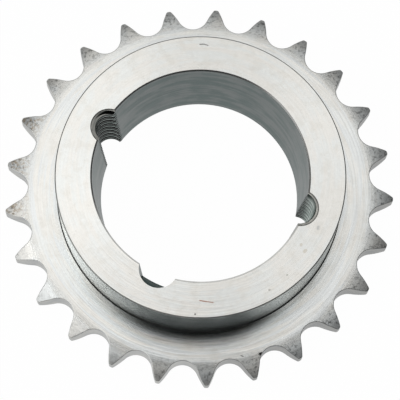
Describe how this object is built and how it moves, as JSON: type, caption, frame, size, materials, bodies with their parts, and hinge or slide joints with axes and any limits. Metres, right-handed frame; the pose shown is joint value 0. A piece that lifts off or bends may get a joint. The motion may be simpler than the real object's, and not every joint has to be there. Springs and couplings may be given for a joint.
{
  "type": "chain sprocket",
  "caption": "Steel sprocket wheel for a roller chain, with a raised hub and a tapered bore that takes a split clamping bush.",
  "frame": {"origin": "centre of the bore on the flat back face", "axes": "+Z along the bore axis, from the back face to the hub face; +X is 18.9 degrees from one threaded half-hole, which lies towards -Y"},
  "size_m": [0.1051, 0.1051, 0.0254],
  "materials": {
    "steel": "turned"
  },
  "bodies": {
    "root": {"sprocket": "steel"}
  },
  "joints": []
}
